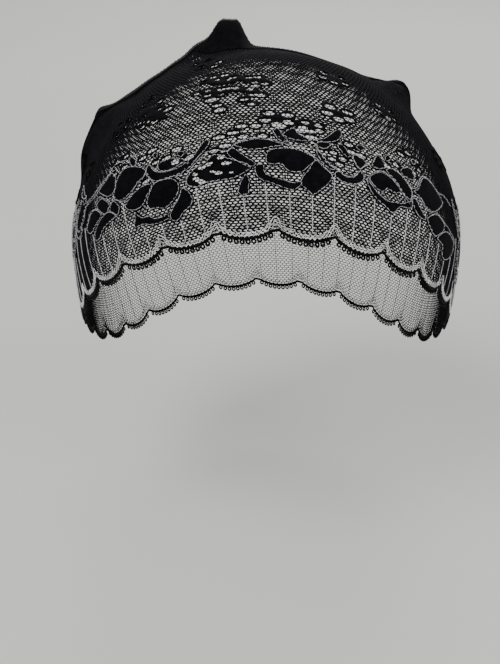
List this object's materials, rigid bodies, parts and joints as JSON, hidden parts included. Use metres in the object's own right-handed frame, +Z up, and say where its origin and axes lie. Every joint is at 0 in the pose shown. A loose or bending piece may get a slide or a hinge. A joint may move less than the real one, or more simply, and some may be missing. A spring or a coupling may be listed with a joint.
{
  "type": "mesh tube cap",
  "caption": "Stretch lace tube cap in its worn form, with a scalloped floral band round the hem, a net crown, a seam from corner to corner and a pinched tip.",
  "frame": {"origin": "centre of the head that wears the cap, at its widest level, where the stretched lace holds on", "axes": "+Z up along the head, -Y towards the face, +X towards the right of a viewer who faces the front"},
  "size_m": [0.1562, 0.1857, 0.1427],
  "materials": {
    "net_thread": "black nylon knit net, slightly glossy thread",
    "lace_thread": "black stretch lace with dense satin petals",
    "outline_thread": "light grey outline thread, matt",
    "cord_thread": "black corded scallop edge with small loops",
    "seam_thread": "black overlocked seam, matt"
  },
  "bodies": {
    "root": {"crown_net": "net_thread", "lace_band": "lace_thread", "scallop_cord": "cord_thread", "crown_seam": "seam_thread"}
  },
  "joints": []
}
